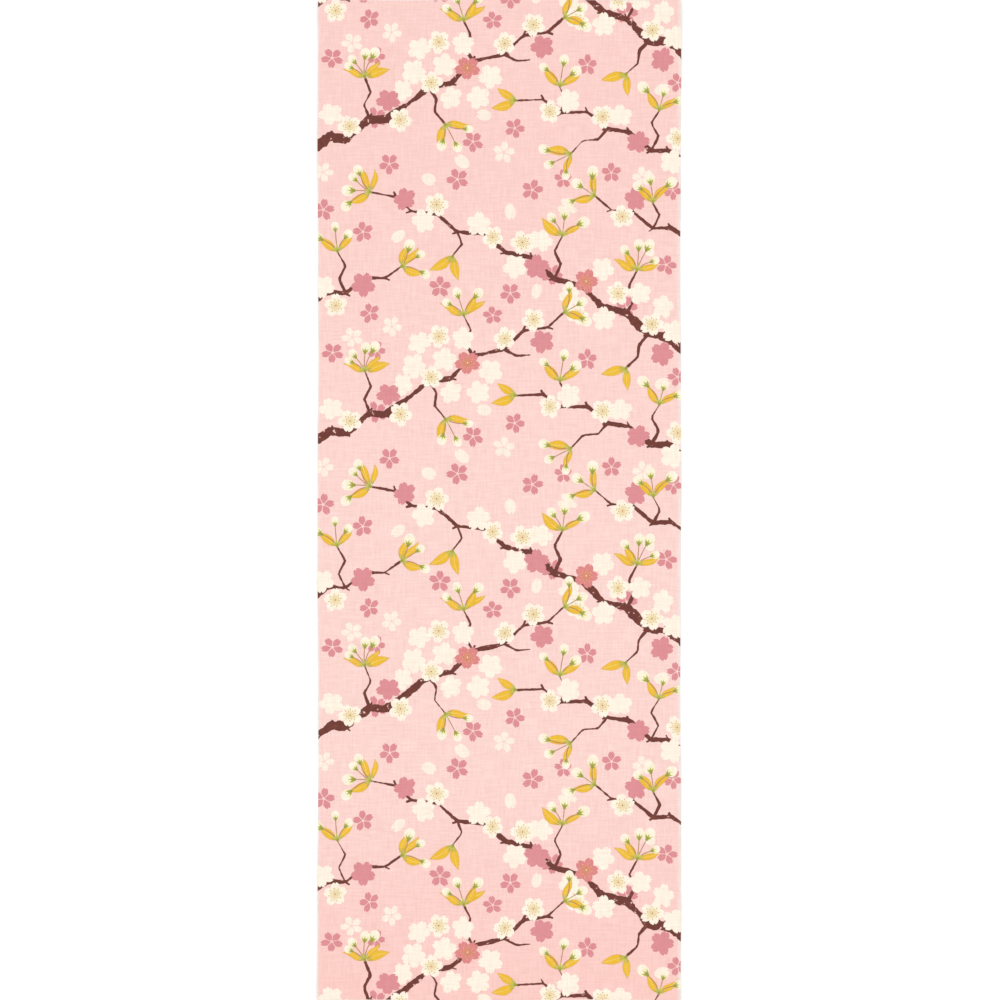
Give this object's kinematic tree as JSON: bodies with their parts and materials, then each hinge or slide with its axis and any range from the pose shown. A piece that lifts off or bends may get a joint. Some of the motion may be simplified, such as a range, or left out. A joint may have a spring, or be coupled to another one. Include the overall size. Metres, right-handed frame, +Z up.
{
  "type": "tenugui towel",
  "caption": "Flat tenugui hand towel of thin printed cotton, with woven selvedges and unhemmed cut ends, laid out face up.",
  "frame": {"origin": "on the table, under the middle of the towel", "axes": "+Z up out of the printed face, +Y along the towel towards its upper end, +X across it"},
  "size_m": [0.3308, 0.9112, 0.0037],
  "materials": {
    "printed_cotton": "matt printed plain-weave cotton, pale pink ground"
  },
  "bodies": {
    "root": {"towel": "printed_cotton"}
  },
  "joints": []
}
